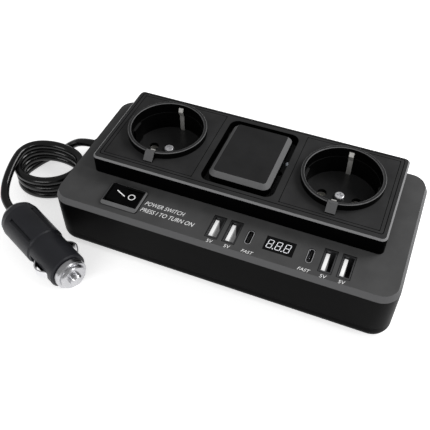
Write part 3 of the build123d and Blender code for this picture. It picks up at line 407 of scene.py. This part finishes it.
coil_steps = round((COIL_END - COIL_START) / COIL_STEP)
coil_points = [
    coil_point(COIL_START + (COIL_END - COIL_START) * step / coil_steps) for step in range(coil_steps + 1)
]
route = TAIL_ROUTE + coil_points + LEAD_ROUTE
cord_curve = bpy.data.curves.new("cord", "CURVE")
cord_curve.dimensions = "3D"
spline = cord_curve.splines.new("NURBS")
spline.points.add(len(route) - 1)
for control, point in zip(spline.points, route):
    control.co = (*(Vector(point) * MM), 1.0)
spline.order_u = 3
spline.use_endpoint_u = True
spline.resolution_u = 8
cord_curve.bevel_depth = CORD_DIAMETER / 2 * MM
cord_curve.bevel_resolution = 8
cord_curve.materials.append(cord_black)
cord = bpy.data.objects.new("cord", cord_curve)
bpy.context.collection.objects.link(cord)
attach(cord, "inverter")
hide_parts("cord_tail", "cord_coil", "cord_lead")

# ------------------------------------------------------------------ display digits
lens_low, lens_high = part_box("display_lens")
lens_middle = (Vector(lens_low) + Vector(lens_high)) / 2 / MM
lens_top = lens_high[2] / MM
DIGIT_WIDTH = 2.5
DIGIT_HEIGHT = 5.2
DIGIT_PITCH = 4.5
DIGITS_SHIFT = -0.4
BAR = 0.34
BAR_GAP = 0.12
LEAN = 0.12
DOT_RADIUS = 0.33
DOT_AWAY = 0.75
DIGIT_SINK = 0.02
DIGIT_LIFT = 0.03


def bar_outline(x0, y0, x1, y1):
    """Six-sided bar of a seven-segment digit between two points."""
    along = Vector((x1 - x0, y1 - y0)).normalized()
    side = Vector((-along.y, along.x)) * BAR / 2
    start = Vector((x0, y0)) + along * BAR_GAP
    end = Vector((x1, y1)) - along * BAR_GAP
    tip = along * BAR / 2
    points = [start, start + tip + side, end - tip + side, end, end - tip - side, start + tip - side]
    return [(p.x + LEAN * p.y, p.y) for p in points]


digit_vertices = []
digit_faces = []
half_w = DIGIT_WIDTH / 2
half_h = DIGIT_HEIGHT / 2
for place in (-1, 0, 1):
    centre_x = lens_middle.x + DIGITS_SHIFT + place * DIGIT_PITCH
    bars = [
        (-half_w, half_h, half_w, half_h), (-half_w, 0, half_w, 0), (-half_w, -half_h, half_w, -half_h),
        (-half_w, 0, -half_w, half_h), (half_w, 0, half_w, half_h),
        (-half_w, -half_h, -half_w, 0), (half_w, -half_h, half_w, 0),
    ]
    outlines = [bar_outline(*bar) for bar in bars]
    if place < 1:
        dot_x = half_w + DOT_AWAY
        turns = [math.pi / 5 * step for step in range(10)]
        dot = [(dot_x + DOT_RADIUS * math.cos(t), -half_h + DOT_RADIUS * math.sin(t)) for t in turns]
        outlines.append(dot)
    for outline in outlines:
        shifted = [(x + centre_x, y + lens_middle.y) for x, y in outline]
        if (shifted[1][0] - shifted[0][0]) * (shifted[2][1] - shifted[0][1]) < (
            shifted[1][1] - shifted[0][1]
        ) * (shifted[2][0] - shifted[0][0]):
            shifted.reverse()
        vertices, faces = prism(shifted, lens_top - DIGIT_SINK, lens_top + DIGIT_LIFT)
        base = len(digit_vertices)
        digit_vertices += vertices
        digit_faces += [tuple(i + base for i in face) for face in faces]
add_mesh("display_digits", digit_vertices, digit_faces, digit_white, "inverter")

# ------------------------------------------------------------------ marks on the rocker
rocker_top = top_of("power_rocker")


def draped(name, outline, lift, look, finder, body):
    """Thin printed patch that follows the surface under it."""
    count = len(outline)
    middle = (sum(x for x, _ in outline) / count, sum(y for _, y in outline) / count)
    vertices = [(*middle, finder(*middle) + lift)]
    for share in (0.5, 1.0):
        ring = [
            (middle[0] + (x - middle[0]) * share, middle[1] + (y - middle[1]) * share) for x, y in outline
        ]
        vertices += [(x, y, finder(x, y) + lift) for x, y in ring]
    faces = [(0, 1 + i, 1 + (i + 1) % count) for i in range(count)]
    faces += [
        (1 + i, 1 + count + i, 1 + count + (i + 1) % count, 1 + (i + 1) % count) for i in range(count)
    ]
    add_mesh(name, vertices, faces, look, body)


def ring_mark(name, x, y, outer, inner, lift, look, finder, body, slot):
    """Printed ring that follows the surface under it."""
    vertices = []
    count = 32
    for radius in (inner, outer):
        for i in range(count):
            px = x + radius * math.cos(2 * math.pi * i / count)
            py = y + radius * math.sin(2 * math.pi * i / count)
            vertices.append((px, py, finder(px, py) + lift))
    faces = [(i, count + i, count + (i + 1) % count, (i + 1) % count) for i in range(count)]
    add_mesh(name, vertices, faces, look, body)


MARK_LIFT = 0.03
ON_START = Vector((-59.3, -30.2))
ON_END = Vector((-54.6, -31.6))
ON_HALF_WIDTH = 0.3
OFF_CENTRE = (-50.9, -30.8)
OFF_OUTER = 2.0
OFF_INNER = 1.5
on_side = Vector((ON_START.y - ON_END.y, ON_END.x - ON_START.x)).normalized() * ON_HALF_WIDTH
on_outline = [
    tuple(corner) for corner in (ON_START - on_side, ON_END - on_side, ON_END + on_side, ON_START + on_side)
]
draped("mark_on", on_outline, MARK_LIFT, print_white, rocker_top, "rocker")
ring_mark(
    "mark_off", *OFF_CENTRE, OFF_OUTER, OFF_INNER, MARK_LIFT, print_white, rocker_top, "rocker", "port_white",
)

# ------------------------------------------------------------------ tabs in front of the sockets: light-grey patches painted on the plate, a painted highlight for their lit faces
TAB_HALF_WIDTH = 2.5
TAB_FACES = (("rim", 22.36, 20.84), ("slope", 25.96, 22.44))
for side in ("left", "right"):
    low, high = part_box(f"{side}_socket_well")
    socket_x = (low[0] + high[0]) / 2 / MM
    socket_y = (low[1] + high[1]) / 2 / MM
    plate_top = top_of(f"{side}_socket_plate")
    for part, front, back in TAB_FACES:
        face = [
            (socket_x - TAB_HALF_WIDTH, socket_y - front), (socket_x + TAB_HALF_WIDTH, socket_y - front),
            (socket_x + TAB_HALF_WIDTH, socket_y - back), (socket_x - TAB_HALF_WIDTH, socket_y - back),
        ]
        draped(f"{side}_tab_{part}", face, MARK_LIFT, tab_highlight_grey, plate_top, "inverter")

# ------------------------------------------------------------------ printed words
TOP_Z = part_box("top_case")[1][2] / MM
PRINT_Z = TOP_Z + PRINT_LIFT
PRINT_LINES = (("POWER SWITCH", -43.2, -30.7, 0.78), ("PRESS I TO TURN ON", -43.6, -35.5, 0.82))
A_PORTS_X = (-2.2, 7.1, 56.3, 65.4)
A_PRINT_Y = -42.0
C_PORTS_X = (17.4, 46.4)
C_PRINT_Y = -41.6
for number, (words, x, y, squeeze) in enumerate(PRINT_LINES, start=1):
    lettering(f"print_line_{number}", words, x, y, PRINT_Z, 3.8, lean=0.32, squeeze=squeeze)
for number, x in enumerate(A_PORTS_X, start=1):
    lettering(f"print_port_{number}", "5V", x, A_PRINT_Y, PRINT_Z, 2.9, lean=0.1, align="CENTER")
for number, x in enumerate(C_PORTS_X, start=1):
    lettering(f"print_fast_{number}", "FAST", x, C_PRINT_Y, PRINT_Z, 2.7, lean=0.35, align="CENTER")

# ------------------------------------------------------------------ fine edges on the moulded parts
for name, width in (
    ("top_case", 0.35), ("socket_block", 0.8), ("fan_cover", 0.25), ("power_rocker", 0.25),
    ("plug_cap", 0.15), ("plug_tip", 0.15), ("usb_a_shells", 0.06), ("usb_c_shells", 0.06),
):
    soften(name, width)

# ------------------------------------------------------------------ floor, light, camera
FLOOR_HALF = 4.0
floor_corners = [(x * FLOOR_HALF, y * FLOOR_HALF, 0) for x, y in ((-1, -1), (1, -1), (1, 1), (-1, 1))]
floor_mesh = bpy.data.meshes.new("floor")
floor_mesh.from_pydata(floor_corners, [], [(0, 1, 2, 3)])
floor = bpy.data.objects.new("floor", floor_mesh)
bpy.context.collection.objects.link(floor)
floor_look, _, floor_shader = new_material("floor_white")
floor_shader.inputs["Base Color"].default_value = (0.93, 0.93, 0.93, 1)
floor_shader.inputs["Roughness"].default_value = 0.85
floor_shader.inputs["Emission Color"].default_value = (1, 1, 1, 1)
floor_shader.inputs["Emission Strength"].default_value = 0.60
floor_mesh.materials.append(floor_look)

bpy.context.scene.view_settings.view_transform = "Standard"
WORLD_STRENGTH = 0.38
world = bpy.context.scene.world or bpy.data.worlds.new("world")
bpy.context.scene.world = world
world.use_nodes = True
world.node_tree.nodes["Background"].inputs["Color"].default_value = (1, 1, 1, 1)
world.node_tree.nodes["Background"].inputs["Strength"].default_value = WORLD_STRENGTH


def area_light(name, where, target, size, power):
    """Rectangular soft light aimed at a point."""
    data = bpy.data.lights.new(name, "AREA")
    data.shape = "RECTANGLE"
    data.size = size[0]
    data.size_y = size[1]
    data.energy = power
    lamp = bpy.data.objects.new(name, data)
    bpy.context.collection.objects.link(lamp)
    lamp.location = where
    lamp.rotation_euler = (Vector(target) - Vector(where)).to_track_quat("-Z", "Y").to_euler()


area_light("key", (0.28, 0.22, 0.34), (0.05, 0.0, 0.03), (0.22, 0.18), 1.3)
area_light("front", (-0.12, -0.92, 0.46), (0.0, 0.0, 0.03), (0.6, 0.3), 3.0)
area_light("right", (0.85, -0.15, 0.55), (0.0, 0.0, 0.03), (0.12, 0.4), 1.6)

AZIMUTH = math.radians(22.170)
ELEVATION = math.radians(48.366)
ROLL = math.radians(-0.187)
LENS = 53.6484
SENSOR = 36.0
CAMERA_PLACE = Vector((0.077189, -0.228688, 0.283968))
back = Vector((
    math.sin(AZIMUTH) * math.cos(ELEVATION), -math.cos(AZIMUTH) * math.cos(ELEVATION), math.sin(ELEVATION),
))
level = Vector((math.cos(AZIMUTH), math.sin(AZIMUTH), 0))
rise = back.cross(level)
right = math.cos(ROLL) * level + math.sin(ROLL) * rise
up = -math.sin(ROLL) * level + math.cos(ROLL) * rise
camera_data = bpy.data.cameras.new("camera")
camera_data.lens = LENS
camera_data.sensor_width = SENSOR
camera_data.clip_start = 0.01
camera = bpy.data.objects.new("camera", camera_data)
bpy.context.collection.objects.link(camera)
pose = Matrix((right, up, back)).transposed().to_4x4()
pose.translation = CAMERA_PLACE
camera.matrix_world = pose
bpy.context.scene.camera = camera
